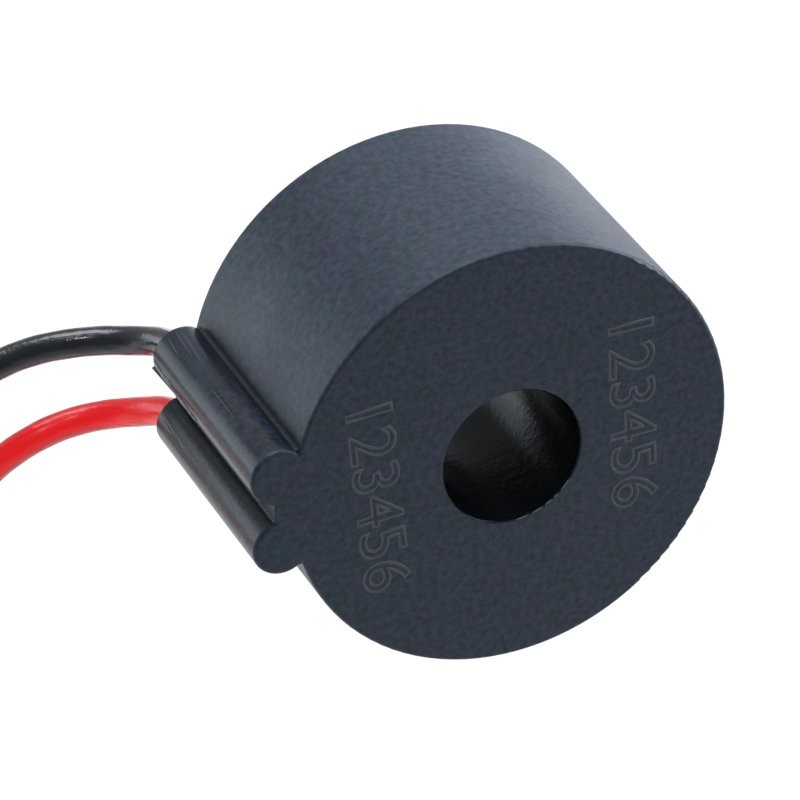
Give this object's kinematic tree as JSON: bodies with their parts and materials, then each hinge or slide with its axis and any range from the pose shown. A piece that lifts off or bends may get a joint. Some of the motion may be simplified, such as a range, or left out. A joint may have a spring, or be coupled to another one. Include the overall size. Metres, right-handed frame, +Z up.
{
  "type": "current transformer",
  "caption": "Small round potted current transformer with a through window, two rounded lead ribs on its side, and a black and a red stripped lead.",
  "frame": {"origin": "on the axis of the window, midway between the front face and the rear rim", "axes": "the window runs along Y; the flat front face looks along -Y and the potted rear and the leads' exits along +Y; the two lead ribs are side by side on the -X side; +Z up, with the black lead's rib above the red lead's"},
  "size_m": [0.0357, 0.0182, 0.0636],
  "materials": {
    "case_plastic": "fine-grained matte moulded plastic",
    "epoxy": "cured black epoxy, smooth with a dull gloss",
    "polyester_tape": "clear yellow polyester film tape",
    "enamelled_copper": "copper wire under clear enamel",
    "box_plastic": "natural moulded plastic",
    "core_strip": "thin wound magnetic strip",
    "black_pvc": "extruded insulation, satin gloss",
    "red_pvc": "extruded insulation, satin gloss",
    "tinned_copper": "stranded copper dipped in solder",
    "bare_copper": "bare stranded copper",
    "solder": "soft solder, bright",
    "black_sleeving": "shrunk sleeving",
    "red_sleeving": "shrunk sleeving"
  },
  "bodies": {
    "root": {"case": "case_plastic", "potting": "epoxy", "winding_tape": "polyester_tape", "winding": "enamelled_copper", "core_box_base": "box_plastic", "core_box_lid": "box_plastic", "core": "core_strip", "black_lead": "black_pvc", "red_lead": "red_pvc", "black_lead_tip": "tinned_copper", "red_lead_tip": "tinned_copper", "black_inner_end": "bare_copper", "red_inner_end": "bare_copper", "black_joint": "solder", "red_joint": "solder", "black_sleeve": "black_sleeving", "red_sleeve": "red_sleeving"}
  },
  "joints": []
}
